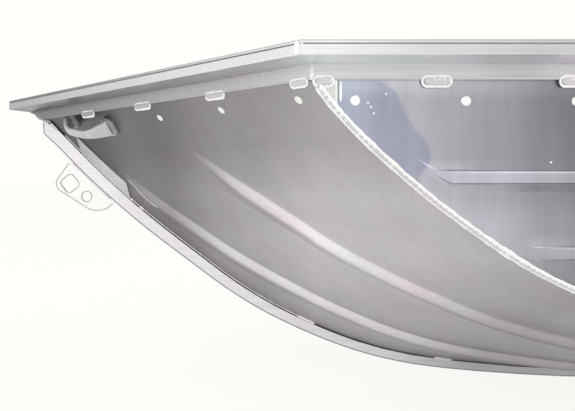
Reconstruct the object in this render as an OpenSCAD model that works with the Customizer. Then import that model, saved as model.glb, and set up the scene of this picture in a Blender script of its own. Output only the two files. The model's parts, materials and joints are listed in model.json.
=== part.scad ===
// Jon boat: a welded sheet hull with a pointed bow, closed at the top by an
// extruded gunwale. +X is forward, +Y is port, +Z is up, and the keel bar and
// the strakes stand on z = 0. Distances "aft" are measured from the bow point.

/* [Hull] */
// Length from the bow point to the back of the gunwales
hull_l = 4270; // [3900:10:4900]
// Beam over the gunwales
beam = 1400; // [1250:10:1550]
// Height of the gunwale top above the keel
depth = 600; // [550:5:660]
// Distance aft of the bow point to the knuckle, where the gunwale turns
bow_l = 620; // [560:10:700]
// Thickness of the hull sheet
sheet_t = 2.5; // [2:0.1:3.5]
// Distance that each side leans out between the chine and the gunwale
flare = 55; // [30:5:80]
// Rake of the transom in degrees
rake = 13; // [6:1:16]
// Thickness of the transom sheet
transom_t = 3; // [2:0.5:4]

/* [Strakes and ribs] */
// Distance of the inner strake from the centreline
strake_in = 121; // [95:1:140]
// Distance of the outer strake from the centreline
strake_out = 366; // [310:2:400]
// Width of a strake at its root
strake_w = 56; // [30:1:65]
// Height of the lower pressed rib in the side
side_rib_lo = 329; // [280:1:350]
// Height of the upper pressed rib in the side
side_rib_hi = 430; // [390:1:450]
// Width of a side rib at its root
side_rib_w = 19; // [14:1:32]
// Depth of a side rib
side_rib_h = 4; // [2:0.5:9]

/* [Keel] */
// Depth of the keel bar and the strakes below the bottom sheet at the stern
keel_h = 15; // [10:1:22]
// Depth of the stem bar ahead of the bottom sheet
stem_h = 27; // [20:1:34]
// Thickness of the keel bar
keel_t = 12; // [8:1:18]
// Width of the doubler beside the stem bar
doubler_w = 46; // [30:1:60]
// Length of the doubler, measured along the boat
doubler_l = 105; // [70:5:150]

/* [Gunwale] */
// Height of the outer face
gun_face = 19; // [15:1:23]
// Drop of the flange below the gunwale top
gun_drop = 45; // [40:1:54]
// Overhang of the outer face beyond the flange
gun_over = 35; // [28:1:42]
// Width of the gunwale across its top
gun_w = 72; // [64:1:84]
// Drop of the inner leg below the gunwale top
gun_leg = 30; // [22:1:38]
// Wall of the gunwale
gun_t = 3; // [2:0.5:4]

/* [Frames] */
// Width of a frame along the boat
frame_w = 45; // [35:1:60]
// Height of a frame above the bottom sheet
frame_h = 28; // [20:1:36]
// Thickness of the frame sheet
frame_t = 2.5; // [2:0.5:4]

/* [Benches] */
// Height of the bench tops above the keel
bench_z = 345; // [310:5:380]
// Length of a bench along the boat
bench_l = 300; // [260:10:360]
// Distance aft of the front edge of the middle bench
bench_mid = 2180; // [2100:10:2300]
// Distance aft of the front edge of the stern bench
bench_aft = 3480; // [3400:10:3520]
// Distance aft of the back edge of the bow deck
deck_aft = 1150; // [1080:10:1250]
// Height of the bow deck above the keel
deck_z = 430; // [400:5:460]
// Thickness of the bench sheet
bench_t = 2.5; // [2:0.5:4]

/* [Transom] */
// Depth of the motor notch below the gunwale top
notch_d = 92; // [70:2:120]
// Width of the motor notch at its foot
notch_w = 420; // [360:10:500]
// Width of each sloping shoulder of the notch
shoulder = 70; // [50:5:100]
// Thickness of the motor board inside the transom
board_t = 38; // [25:1:45]
// Height of the motor board
board_h = 330; // [280:10:360]
// Width of the clamp plate outside the transom
clamp_w = 300; // [240:10:340]
// Height of the clamp plate
clamp_h = 150; // [110:10:190]
// Diameter of the drain hole
drain_d = 25; // [19:1:30]

/* [Eye plate] */
// Diameter of the shackle hole
eye_d = 20; // [14:1:24]
// Side of the square rope slot
eye_slot = 31; // [24:1:34]
// Thickness of the eye plate
eye_t = 8; // [6:1:10]

/* [Handles] */
// Distance between the feet of a handle
handle_l = 138; // [100:2:150]
// Distance from the sheet to the far side of the grip
handle_out = 42; // [36:1:50]
// Width of the grip
handle_w = 17; // [12:1:22]
// Distance of the bow handles aft of the bow point
handle_a = 216; // [190:2:250]

/* [Oarlocks] */
// Diameter of the oarlock bore
oar_d = 13; // [11:0.5:16]
// Distance of the oarlocks aft of the bow point
oar_a = 2700; // [2550:10:2850]
// Height of the oarlock block
oar_h = 46; // [36:1:60]

/* [Hidden] */

// Clearance between pieces that are fitted into one another
gap = 0.2;
hb = beam / 2;
xb = hull_l / 2;
sheet_y = hb - gun_over - gun_t;
sheet_top = depth - gun_t;
// Angle of the bow gunwales to the centreline, as sine and cosine
bow_sin = hb / norm([bow_l, hb]);
bow_cos = bow_l / norm([bow_l, hb]);
// Corner of the sheets at the knuckle, inside the flanges of both gunwales
knuckle_a = (gun_over + gun_t + sheet_y * bow_cos) / bow_sin;
knuckle_z = depth - gun_drop + 2;
// Head of the stem, where the sheets of the two sides meet under the gunwale
stem_a = (gun_over + gun_t + 9) / bow_sin;
stem_z = depth - gun_drop + 21;
stem_y = 4;

// Centreline of the bottom sheet: distance aft in bow lengths, and height as a
// share of the height from the flat of the bottom to the gunwale top
KEEL = [[0.10, 0.965], [0.19, 0.874], [0.32, 0.734], [0.48, 0.583],
    [0.65, 0.442], [0.81, 0.317], [0.97, 0.219], [1.19, 0.119],
    [1.39, 0.062], [1.63, 0.029], [1.98, 0.004], [2.42, 0.0], [9, 0.0]];
// Chine behind the knuckle: distance behind it in bow lengths, share of the
// flare taken, and height as a share of the knuckle's height above the flat
CHINE = [[0.00, 0.00, 1.000], [0.045, 0.01, 0.932], [0.13, 0.05, 0.832],
    [0.29, 0.28, 0.680], [0.50, 0.60, 0.524], [0.75, 0.86, 0.408],
    [0.96, 0.95, 0.340], [1.40, 1.00, 0.238], [2.20, 1.00, 0.102],
    [3.20, 1.00, 0.012], [3.80, 1.00, 0.0], [9, 1.00, 0.0]];

function mix(a, b, t) = a + (b - a) * t;
function clamp01(t) = min(1, max(0, t));
function unit(v) = v / norm(v);
function row(T, u, i = 0) =
    i >= len(T) - 2 || u < T[i + 1][0] ? i : row(T, u, i + 1);
function slope(T, c, i) =
    let(p = max(0, i - 1), q = min(len(T) - 1, i + 1))
    (T[q][c] - T[p][c]) / (T[q][0] - T[p][0]);
// Smooth curve through column c of table T at u
function curve(T, c, u) =
    let(i = row(T, u), h = T[i + 1][0] - T[i][0], s = clamp01((u - T[i][0]) / h))
    T[i][c] * (2 * s^3 - 3 * s^2 + 1) + T[i + 1][c] * (3 * s^2 - 2 * s^3)
    + h * slope(T, c, i) * (s^3 - 2 * s^2 + s)
    + h * slope(T, c, i + 1) * (s^3 - s^2);

// Lines of the hull at distance a aft: the keel line, and the outer edge of the
// bottom, which is the sheer as far as the knuckle and the chine behind it
function keel_z(a) =
    mix(keel_h, depth, max(0, curve(KEEL, 1, a / bow_l)));
function sheer_t(a) = clamp01((a - stem_a) / (knuckle_a - stem_a));
function chine(c, a) = clamp01(curve(CHINE, c, (a - knuckle_a) / bow_l));
function edge_y(a) = a < knuckle_a ? mix(stem_y, sheet_y, sheer_t(a))
    : sheet_y - flare * chine(1, a);
function edge_z(a) = a < knuckle_a ? mix(stem_z, knuckle_z, sheer_t(a))
    : mix(keel_h, knuckle_z, chine(2, a));
// Beside the knuckle the bottom sags under straight sections, just so far that
// it runs on smoothly where its edge turns
dip_l = 120;
dip_power = 5;
knuckle_slope = (knuckle_z - keel_z(knuckle_a)) / sheet_y;
dip_turn = (knuckle_z - stem_z - knuckle_slope * (sheet_y - stem_y))
        / (knuckle_a - stem_a)
    - ((knuckle_z - keel_h) * slope(CHINE, 2, 0)
        + knuckle_slope * flare * slope(CHINE, 1, 0)) / bow_l;
function dip(a) = dip_turn * dip_l / 4
    * pow(max(0, 1 - abs(a - knuckle_a) / dip_l), 2);
// Height of the bottom at a share w of the way from the keel to the edge, its
// point there, and the share at which it stands at height z
function section_z(a, w) = mix(keel_z(a), edge_z(a), w)
    - dip(a) * (w - pow(w, dip_power));
function bottom_pt(a, w) = [xb - a, w * edge_y(a), section_z(a, w)];
function share_at(a, z, w = 0, n = 6) = n == 0 ? w
    : share_at(a, z, (z - keel_z(a) + dip(a) * (w - pow(w, dip_power)))
        / (edge_z(a) - keel_z(a)), n - 1);
// Direction from the bottom sheet into the boat
function inward(a, w) = let(p = bottom_pt(a, w))
    unit(cross(bottom_pt(a, w + 0.01) - p, bottom_pt(a + 1, w) - p));
// Direction from the side sheet into the boat
function side_in(a) = unit([0, edge_z(a) - sheet_top, sheet_y - edge_y(a)]);
// Inside corner where the bottom and the side meet at the chine
function chine_in(a) = let(b = inward(a, 0.98), s = side_in(a))
    bottom_pt(a, 1) + sheet_t * (b + s) / (1 + b * s);

// Stations along the hull, close together where the lines bend most
bow_steps = 20;
run_steps = 30;
STATIONS = concat(
    [for (i = [0 : bow_steps]) mix(stem_a, knuckle_a, i / bow_steps)],
    [for (i = [1 : run_steps])
        mix(knuckle_a, hull_l, pow(i / run_steps, 1.7))]);
last = len(STATIONS) - 1;

// The transom's plane leans aft; its cap stands proud of its outer face
cap_over = 4;
stern_x = cap_over / cos(rake) - xb;
function transom_x(z) =
    (depth - z) * tan(rake) + stern_x + transom_t / cos(rake);
// Points of the last station run out to the transom
function run_out(p, i) = i < last ? p : [transom_x(p[2]), p[1], p[2]];

// Closed skin between an outer and an inner grid of points
module skin(outer, inner) {
    m = len(outer);
    n = len(outer[0]);
    half = m * n;
    quads = concat(
        [for (i = [0 : m - 2], j = [0 : n - 2]) let(a = i * n + j)
            [a, a + 1, a + n + 1, a + n]],
        [for (i = [0 : m - 2], j = [0 : n - 2]) let(a = half + i * n + j)
            [a, a + n, a + n + 1, a + 1]],
        [for (j = [0 : n - 2]) [j, half + j, half + j + 1, j + 1]],
        [for (j = [0 : n - 2]) let(a = (m - 1) * n + j)
            [a, a + 1, half + a + 1, half + a]],
        [for (i = [0 : m - 2]) let(a = i * n) [a, a + n, half + a + n, half + a]],
        [for (i = [0 : m - 2]) let(a = i * n + n - 1)
            [a, half + a, half + a + n, a + n]]);
    polyhedron(concat([for (r = outer) each r], [for (r = inner) each r]),
        [for (q = quads) each [[q[0], q[1], q[2]], [q[0], q[2], q[3]]]]);
}

// Strakes: distance from the centreline, start aft in bow lengths, the share by
// which the strake draws in towards the stem at its start, and the bow lengths
// over which it straightens out and over which it grows to its full depth
STRAKES = [[strake_in, 0.43, 0.57, 0.75, 0.07],
    [strake_out, 0.69, 0.20, 0.70, 0.17]];
// Section of a strake: offset from its centre in widths, share of its depth
STRAKE_SECTION = [[-0.5, 0], [0.08, 0.96], [0.17, 1], [0.5, 0]];
function strake_t(k, a, l) = clamp01((a / bow_l - STRAKES[k][1]) / l);
function strake_y(k, a) =
    STRAKES[k][0] * (1 - STRAKES[k][2]
        * pow(1 - strake_t(k, a, STRAKES[k][3]), 1.3));
// Point j across half the bottom, kept in order where the bow is narrow
outer_strake = 2 * len(STRAKE_SECTION);
across = outer_strake + 3;
function strake_side(j) = j > len(STRAKE_SECTION) ? 1 : 0;
function strake_point(j) = STRAKE_SECTION[(j - 1) % len(STRAKE_SECTION)];
function across_w(a, j) = min(0.9 * pow(j / outer_strake, 0.8),
    (strake_y(strake_side(j), a) + strake_point(j)[0] * strake_w) / edge_y(a));
function across_pt(a, j) =
    j == 0 ? bottom_pt(a, 0)
    : j > outer_strake ? bottom_pt(a, mix(across_w(a, outer_strake), 1,
        (j - outer_strake) / (across - outer_strake)))
    : let(k = strake_side(j), s = strake_point(j))
    bottom_pt(a, across_w(a, j))
        - [0, 0, s[1] * keel_h * strake_t(k, a, STRAKES[k][4])];
function across_in(a, j) = let(p = across_pt(a, j),
        q = p + sheet_t * inward(a, p[1] / edge_y(a)))
    j == 0 ? p + [0, 0, sheet_t / inward(a, 0)[2]]
    : j == across && a >= knuckle_a ? chine_in(a)
    : [q[0], max(q[1], p[1] * 0.3), q[2]];
module bottom_half() {
    skin([for (i = [0 : last]) [for (j = [0 : across])
            run_out(across_pt(STATIONS[i], j), i)]],
        [for (i = [0 : last]) [for (j = [0 : across])
            run_out(across_in(STATIONS[i], j), i)]]);
}

// Side ribs: they grow out of the chine where it has dropped clear of them
SIDE_RIBS = [side_rib_lo, side_rib_hi];
RIB_SECTION = [[-0.5, 0], [-0.4, 1], [0.42, 0.75], [0.5, 0]];
upward = 2 * len(RIB_SECTION) + 1;
function rib_t(k, a) =
    clamp01((SIDE_RIBS[k] - side_rib_w - edge_z(a)) / (2 * side_rib_w));
function side_y(a, z) = mix(edge_y(a), sheet_y,
    clamp01((z - edge_z(a)) / (sheet_top - edge_z(a))));
function upward_pt(a, j) = j == 0 ? bottom_pt(a, 1)
    : j == upward ? [xb - a, sheet_y, sheet_top]
    : let(k = j > len(RIB_SECTION) ? 1 : 0,
        s = RIB_SECTION[(j - 1) % len(RIB_SECTION)],
        z = max(SIDE_RIBS[k] + s[0] * side_rib_w,
            mix(edge_z(a), sheet_top, j / (4 * upward))))
    [xb - a, side_y(a, z) + s[1] * side_rib_h * rib_t(k, a), z];
function upward_in(a, j) = j == 0 ? chine_in(a)
    : j == upward ? upward_pt(a, j) - [0, sheet_t, 0]
    : upward_pt(a, j) + sheet_t * side_in(a);
module side_half() {
    skin([for (i = [bow_steps : last]) [for (j = [0 : upward])
            run_out(upward_in(STATIONS[i], j), i)]],
        [for (i = [bow_steps : last]) [for (j = [0 : upward])
            run_out(upward_pt(STATIONS[i], j), i)]]);
}

module starboard() { mirror([0, 1, 0]) children(); }
module bottom_port() { color("#9a9ea3") bottom_half(); }
module bottom_starboard() { color("#9a9ea3") starboard() bottom_half(); }
module side_port() { color("#b4b8bd") side_half(); }
module side_starboard() { color("#b4b8bd") starboard() side_half(); }

// Section of the gunwale, as distance inboard of the outer face and height: a
// grooved face, a flange over the sheet, and a leg on the inside
groove_z = depth - 5;
GUNWALE = [[0, depth - gun_face], [0, groove_z - 1], [1.2, groove_z - 0.5],
    [1.2, groove_z + 0.5], [0, groove_z + 1], [0, depth - 1.5], [1.5, depth],
    [gun_w - 4, depth], [gun_w, depth - 4], [gun_w, depth - gun_leg],
    [gun_w - gun_t, depth - gun_leg], [gun_w - gun_t, depth - gun_t],
    [gun_over + gun_t, depth - gun_t], [gun_over + gun_t, depth - gun_drop],
    [gun_over, depth - gun_drop], [gun_over, depth - gun_face - 6]];
// Knuckle of the gunwale, and the direction of its mitre towards the inside
knuckle = [xb - bow_l, hb];
mitre = unit([bow_cos - 1, -bow_sin]);
// Gunwale along +X, with its outer face on y = 0 and its body on the -y side
module gunwale_bar(l) {
    rotate([90, 0, 90]) linear_extrude(l)
        polygon([for (p = GUNWALE) [-p[0], p[1]]]);
}
module gunwale_side() {
    out = knuckle - gun_w * mitre;
    in = knuckle + 2 * gun_w * mitre;
    intersection() {
        translate([-xb, hb, 0]) gunwale_bar(hull_l);
        linear_extrude(depth + 1)
            polygon([out, in, [-xb - 1, in[1]], [-xb - 1, out[1]]]);
    }
}
// The flange is cut back at the bow point, over the head of the stem
flange_cut = 58;
module gunwale_bow() {
    out = knuckle - gun_w * mitre;
    in = knuckle - hb / mitre[1] * mitre;
    tip = xb - gun_over / bow_sin;
    difference() {
        intersection() {
            translate(knuckle) rotate(-acos(bow_cos)) translate([-gun_w, 0, 0])
                gunwale_bar(norm([bow_l, hb]) + 3 * gun_w);
            linear_extrude(depth + 1) polygon([out, in, [xb + gun_w, 0]]);
        }
        translate([0, hb, 0]) rotate([90, 0, 0]) linear_extrude(2 * hb)
            polygon([[tip + 1, depth - gun_face - 7], [tip + 1, 0],
                [tip - flange_cut, 0], [tip - flange_cut, depth - gun_drop - 1]]);
    }
}
module gunwale_port() { color("#c9cace") gunwale_side(); }
module gunwale_starboard() { color("#c9cace") starboard() gunwale_side(); }
module gunwale_bow_port() { color("#d5d6dc") gunwale_bow(); }
module gunwale_bow_starboard() { color("#d5d6dc") starboard() gunwale_bow(); }

// Flat plates between the inner legs: one across the bow, and one in each
// corner behind, where the gunwale meets the transom
plate_z = depth - 12;
plate_l = 190;
corner_l = 130;
module bow_plate() {
    tip = xb - gun_w / bow_sin;
    y = plate_l * bow_sin / bow_cos;
    color("#b9bcc0") translate([0, 0, plate_z]) linear_extrude(gun_t)
        polygon([[tip, 0], [tip - plate_l, y], [tip - plate_l, -y]]);
}
module corner() {
    x = transom_x(plate_z) + gap;
    y = hb - gun_w;
    translate([0, 0, plate_z]) linear_extrude(gun_t)
        polygon([[x, y], [x + corner_l, y], [x + corner_l - 20, y - 20],
            [x + 20, y - corner_l + 20], [x, y - corner_l]]);
}
module corner_port() { color("#b9bcc0") corner(); }
module corner_starboard() { color("#b9bcc0") starboard() corner(); }

// Keel bar: a point on its seat against the sheet, the direction out of the
// hull there, and its depth, which falls from the stem to the flat of the keel
function seat_pt(a) = [xb - a, keel_z(a)];
function seat_out(a) =
    let(d = unit(seat_pt(a + 1) - seat_pt(a - 1))) [-d[1], d[0]];
bar_flat = knuckle_a + 0.97 * bow_l;
function bar_h(a) =
    mix(stem_h, keel_h, clamp01((a - stem_a) / (bar_flat - stem_a)));
function bar_pt(a) = seat_pt(a) + bar_h(a) * seat_out(a);
module bar_outline() {
    foot = stem_a + 50;
    run = [for (a = STATIONS) if (a > foot && a < hull_l) a];
    head = xb - stem_a - 12;
    polygon(concat(
        [[head - 8, stem_z - 22], [head, stem_z - 20], [head - 2, stem_z - 48]],
        [for (a = run) bar_pt(a)],
        [[transom_x(0) - transom_t, 0], [transom_x(keel_h) - transom_t, keel_h]],
        [for (i = [len(run) - 1 : -1 : 0]) seat_pt(run[i])], [seat_pt(foot)]));
}
// Stands an outline in the plane of the keel, with thickness t
module in_keel_plane(t) {
    translate([0, t / 2, 0]) rotate([90, 0, 0]) linear_extrude(t) children();
}
module keel_bar() { color("#d0d1d8") in_keel_plane(keel_t) bar_outline(); }

// Plate under the stem with a rope slot and a shackle hole; x runs out of the
// stem and y runs up along it
eye_a = stem_a + 134;
EYE_HOLE = [32, -17];
EYE_SLOT = [37, 29];
EYE_TOE = [7, -25];
eye_r = 20;
toe_r = 44.5;
eye_turn = atan2(seat_out(eye_a)[1], seat_out(eye_a)[0]);
eye_base = bar_pt(eye_a);
function arc(c, r, t0, t1, n) =
    [for (i = [0 : n]) let(t = mix(t0, t1, i / n)) c + r * [cos(t), sin(t)]];
module eye_plate() {
    top = [-8, 73];
    heel = EYE_SLOT + [7, 8];
    v = top - heel;
    w = heel - EYE_TOE;
    // Turns at which the straight edges leave the heel and the toe
    upper = atan2(v[1], v[0]) - acos(eye_r / norm(v));
    lower = atan2(w[1], w[0]) - acos((toe_r - eye_r) / norm(w));
    toe = -acos((top[0] - EYE_TOE[0]) / toe_r);
    color("#b0b3b8") in_keel_plane(eye_t) difference() {
        translate(eye_base) rotate(eye_turn) difference() {
            polygon(concat([top], arc(heel, eye_r, upper, lower, 16),
                arc(EYE_TOE, toe_r, lower, toe, 24)));
            translate(EYE_HOLE) circle(d = eye_d, $fn = 48);
            translate(EYE_SLOT) rotate(8) {
                square([eye_slot, eye_slot - 16], center = true);
                square([eye_slot - 16, eye_slot], center = true);
                for (x = [-1, 1], y = [-1, 1])
                    translate((eye_slot / 2 - 8) * [x, y]) circle(8, $fn = 48);
            }
        }
        bar_outline();
    }
}

// Doubler on the sheet beside the stem, behind the eye plate
doubler_a = stem_a + 99;
module stem_doubler() {
    steps = [for (i = [0 : 8]) doubler_a + doubler_l * i / 8];
    ys = [keel_t / 2 + gap, keel_t / 2 + doubler_w / 2, keel_t / 2 + doubler_w];
    skin([for (a = steps) [for (y = ys)
            bottom_pt(a, y / edge_y(a)) - sheet_t * inward(a, y / edge_y(a))]],
        [for (a = steps) [for (y = ys) bottom_pt(a, y / edge_y(a))]]);
}
module stem_doubler_port() { color("#c3c4c8") stem_doubler(); }
module stem_doubler_starboard() { color("#c3c4c8") starboard() stem_doubler(); }

// Inner half width of the hull at height z, and the inner line of the bottom
function wall_y(a, z) = let(w = share_at(a, z))
    z < edge_z(a) ? w * edge_y(a) + sheet_t / inward(a, w)[1] - gap
    : side_y(a, z) + sheet_t / side_in(a)[1] - gap;
function floor_z(a, y) = let(w = y / edge_y(a))
    section_z(a, w) + sheet_t / inward(a, w)[2] + gap;
// Half section of the inside at station a, up to height z, as [y, z] points
function inside_half(a, z) = let(c = chine_in(a))
    [[0, floor_z(a, 0)], [c[1] - gap, c[2] + gap], [wall_y(a, z), z]];
function both_sides(h) = concat(h, [for (i = [len(h) - 1 : -1 : 0])
    if (h[i][0] > 0) [-h[i][0], h[i][1]]]);
// Sheet across the boat, of thickness t, with its front at station a
module crosswise(a, t) {
    translate([xb - a, 0, 0]) rotate([90, 0, -90]) linear_extrude(t) children();
}
module bulkhead(a, z, t) {
    crosswise(a, t) polygon(both_sides(inside_half(a, z)));
}
// Level sheet from a0 to a1 with its top at z, its sides in n straight steps
module shelf(a0, a1, z, t, n = 1) {
    stops = [for (i = [0 : n]) let(a = mix(a0, a1, i / n))
        if (keel_z(a) + 2 * sheet_t < z - t) [xb - a, wall_y(a, z - t)]];
    translate([0, 0, z - t]) linear_extrude(t) polygon(concat(stops,
        [for (i = [len(stops) - 1 : -1 : 0]) [stops[i][0], -stops[i][1]]]));
}
module bench(a) {
    shelf(a, a + bench_l, bench_z, bench_t);
    bulkhead(a, bench_z - bench_t, bench_t);
    bulkhead(a + bench_l - bench_t, bench_z - bench_t, bench_t);
}
module bow_deck() {
    color("#c0c2c6") {
        shelf(stem_a + 60, deck_aft, deck_z, bench_t, 44);
        bulkhead(deck_aft - bench_t, deck_z - bench_t, bench_t);
    }
}
module bench_mid_box() { color("#c0c2c6") bench(bench_mid); }
module bench_stern_box() { color("#c0c2c6") bench(bench_aft); }

// Frames: hat channels that follow the inside, two ahead of the middle bench
// and two behind it, evenly spaced
function frame_a(k) = k < 3 ? mix(deck_aft, bench_mid, k / 3) - frame_w / 2
    : mix(bench_mid + bench_l, bench_aft, (k - 2) / 3) - frame_w / 2;
// Band along the inside of station a, as deep as far from that of station a0
module band(a, a0, near, far) {
    top = depth - gun_leg - 4;
    difference() {
        polygon(both_sides([for (p = inside_half(a, top))
            [max(0, p[0] - near), p[1] + (p[1] < top ? near : 0)]]));
        polygon(both_sides([for (p = inside_half(a0, depth + 60))
            [max(0, p[0] - far), p[1] + far]]));
    }
}
module frame(k) {
    a = frame_a(k);
    rear = a + frame_w - frame_t;
    color("#a8abb0") {
        crosswise(a, frame_t) band(a, a, 0, frame_h);
        crosswise(rear, frame_t) band(rear, a, 0, frame_h);
        crosswise(a, frame_w) band(a, a, frame_h - frame_t, frame_h);
    }
}
module frame_1() { frame(1); }
module frame_2() { frame(2); }
module frame_3() { frame(3); }
module frame_4() { frame(4); }

// Plane of the transom: x across the boat, y up the rake from the gunwale top,
// and z into the boat from the outer face
module on_transom() {
    multmatrix([[0, -sin(rake), cos(rake), stern_x], [1, 0, 0, 0],
        [0, cos(rake), sin(rake), depth]]) children();
}
function up_rake(z) = (z - depth) / cos(rake);
cap_h = 5;
// Heights up the rake of the cap's top at the sides and in the notch
cap_side = up_rake(depth - 3);
cap_notch = up_rake(depth - notch_d);
// Upper edge of one half of the transom sheet, from the gunwale to the middle
cap_y = hb - gun_w;
TRANSOM_EDGE = [[cap_y, cap_side - cap_h],
    [notch_w / 2 + shoulder, cap_side - cap_h], [notch_w / 2, cap_notch - cap_h]];
function mirrored(h) = concat(h,
    [for (i = [len(h) - 1 : -1 : 0]) [-h[i][0], h[i][1]]]);
drain_z = keel_h + 34;
module transom() {
    leg_foot = up_rake(depth - gun_leg) - 1;
    leg_y = hb - gun_w + gun_t + gap;
    half = concat([for (j = [1 : across]) let(p = across_pt(hull_l, j))
            [p[1], up_rake(p[2])]],
        [[sheet_y, up_rake(sheet_top) - 1], [leg_y, up_rake(sheet_top) - 1],
        [leg_y, leg_foot], [cap_y, leg_foot]], TRANSOM_EDGE);
    color("#b4b8bd") on_transom() linear_extrude(transom_t) difference() {
        polygon(mirrored(half));
        translate([0, up_rake(drain_z)]) circle(d = drain_d, $fn = 48);
    }
}
module transom_cap() {
    // Shift of the upper line that keeps the cap as thick on the shoulders
    k = cap_h * tan(atan2(cap_side - cap_notch, shoulder) / 2);
    color("#c9cace") on_transom() translate([0, 0, -cap_over])
        linear_extrude(transom_t + 2 * cap_over)
        polygon(concat(mirrored(TRANSOM_EDGE), [[-cap_y, cap_side],
            [k - notch_w / 2 - shoulder, cap_side], [k - notch_w / 2, cap_notch],
            [notch_w / 2 - k, cap_notch], [notch_w / 2 + shoulder - k, cap_side],
            [cap_y, cap_side]]));
}
module motor_board() {
    w = notch_w + 120;
    color("#8d9096") on_transom() translate([0, 0, transom_t])
        linear_extrude(board_t) translate([-w / 2, cap_notch - cap_h - board_h])
        difference() {
            square([w, board_h]);
            for (x = [0, w]) translate([x, 0]) rotate(45)
                square(50, center = true);
        }
}
clamp_t = 3;
clamp_v = cap_notch - cap_h - 8 - clamp_h / 2;
module clamp_plate() {
    color("#cfd0d4") on_transom() translate([0, clamp_v, -clamp_t])
        linear_extrude(clamp_t) difference() {
            square([clamp_w, clamp_h], center = true);
            for (x = [-1, 1], y = [-1, 1])
                translate([x * clamp_w / 2, y * clamp_h / 2]) rotate(45)
                square(20, center = true);
        }
}
// Knee between the motor board and the bottom
knee_y = 150;
knee_l = 190;
knee_t = 4;
module knee() {
    z0 = floor_z(hull_l - 100, knee_y);
    z1 = depth - notch_d - 70;
    low = depth + (cap_notch - cap_h - board_h) * cos(rake);
    face = board_t / cos(rake) + gap;
    x0 = transom_x(z0) + face;
    x1 = transom_x(z1) + face;
    translate([0, knee_y + knee_t / 2, 0]) rotate([90, 0, 0])
        linear_extrude(knee_t)
        polygon([[transom_x(z0) + gap, z0], [x0 + knee_l, z0],
            [x0 + knee_l, z0 + 30], [x1 + 40, z1], [x1, z1],
            [transom_x(low) + face, low], [transom_x(low) + face, low - 10],
            [transom_x(low - 10) + gap, low - 10]]);
}
module knee_port() { color("#b4b8bd") knee(); }
module knee_starboard() { color("#b4b8bd") starboard() knee(); }

// Threaded drain socket round the hole in the transom
module drain_socket() {
    r = drain_d / 2;
    color("#6f7378") on_transom() translate([0, up_rake(drain_z), transom_t])
        rotate_extrude($fn = 48) polygon([[r, 0], [r + 12, 0], [r + 12, 3],
            [r + 4, 5], [r + 4, 20], [r, 20]]);
}

// Cast handle: a flat grip that bows off the sheet between two flared feet.
// Section t of the grip, from -1 at one foot to 1 at the other, has n points.
foot_h = 6;
FOOT = [30, 2.3 * handle_w];
function grip_ring(t, n) = let(rise = 1 - pow(abs(t), 4),
        flare_t = pow(abs(t), 4),
        w = handle_w * (1 + 1.1 * flare_t) / 2, h = 5 + 3 * flare_t,
        z = mix(foot_h, handle_out - 5, rise),
        lean = -60 * sign(t) * pow(abs(t), 3))
    [for (i = [0 : n - 1]) let(c = cos(360 * i / n), s = sin(360 * i / n),
            across_grip = sign(c) * pow(abs(c), 0.7) * w,
            along = sign(s) * pow(abs(s), 0.7) * h)
        [handle_l / 2 * t * (1 - 0.1 * rise) + along * sin(-lean), across_grip,
            z + along * cos(lean)]];
module grip() {
    n = 12;
    m = 18;
    rings = [for (i = [0 : m]) grip_ring(2 * i / m - 1, n)];
    polyhedron([for (r = rings) each r], concat([[for (j = [0 : n - 1]) j]],
        [for (i = [0 : m - 1], j = [0 : n - 1]) let(k = (j + 1) % n)
            each [[i * n + j, (i + 1) * n + j, (i + 1) * n + k],
                [i * n + j, (i + 1) * n + k, i * n + k]]],
        [[for (j = [n - 1 : -1 : 0]) m * n + j]]));
}
module foot() {
    linear_extrude(foot_h - 2) difference() {
        square(FOOT, center = true);
        for (x = [-1, 1], y = [-1, 1]) translate([x * FOOT[0], y * FOOT[1]] / 2)
            rotate(45) square(10, center = true);
    }
    linear_extrude(foot_h + 2) square(FOOT - [9, 4], center = true);
}
module handle() {
    grip();
    for (s = [-1, 1]) translate([s * handle_l / 2, 0, 0]) foot();
}
// Stands children on the outside of the bottom sheet, with x along the boat
handle_share = 0.80;
module on_bow(a, w) {
    p = bottom_pt(a, w);
    n = -inward(a, w);
    t = unit(bottom_pt(a + 1, w) - p);
    b = cross(n, t);
    multmatrix([[t[0], b[0], n[0], p[0]], [t[1], b[1], n[1], p[1]],
        [t[2], b[2], n[2], p[2]]]) children();
}
stern_grip = [hb - 210, up_rake(depth - 225)];
module bow_handle() { on_bow(handle_a, handle_share) handle(); }
module stern_handle() { on_transom() translate(stern_grip) mirror([0, 0, 1]) handle(); }
module bow_handle_port() { color("#c4c5ca") bow_handle(); }
module bow_handle_starboard() { color("#c4c5ca") starboard() bow_handle(); }
module stern_handle_port() { color("#c4c5ca") stern_handle(); }
module stern_handle_starboard() { color("#c4c5ca") starboard() stern_handle(); }

// Oarlock block on the inner leg of the gunwale, with an upright bore
oar_y = 15;
module oarlock() {
    translate([xb - oar_a, hb - gun_w, depth - oar_h]) linear_extrude(oar_h)
        difference() {
            union() {
                translate([-32, -10]) square([64, 10]);
                translate([0, -oar_y]) circle(oar_d / 2 + 7, $fn = 64);
                translate([-oar_d / 2 - 7, -oar_y]) square([oar_d + 14, oar_y]);
            }
            translate([0, -oar_y]) circle(d = oar_d, $fn = 48);
        }
}
module oarlock_port() { color("#b9bcc0") oarlock(); }
module oarlock_starboard() { color("#b9bcc0") starboard() oarlock(); }

bottom_port();
bottom_starboard();
side_port();
side_starboard();
transom();
keel_bar();
stem_doubler_port();
stem_doubler_starboard();
gunwale_port();
gunwale_starboard();
gunwale_bow_port();
gunwale_bow_starboard();
bow_plate();
eye_plate();
bow_handle_port();
bow_handle_starboard();
bow_deck();
bench_mid_box();
bench_stern_box();
frame_1();
frame_2();
frame_3();
frame_4();
transom_cap();
motor_board();
clamp_plate();
knee_port();
knee_starboard();
corner_port();
corner_starboard();
stern_handle_port();
stern_handle_starboard();
drain_socket();
oarlock_port();
oarlock_starboard();
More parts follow.
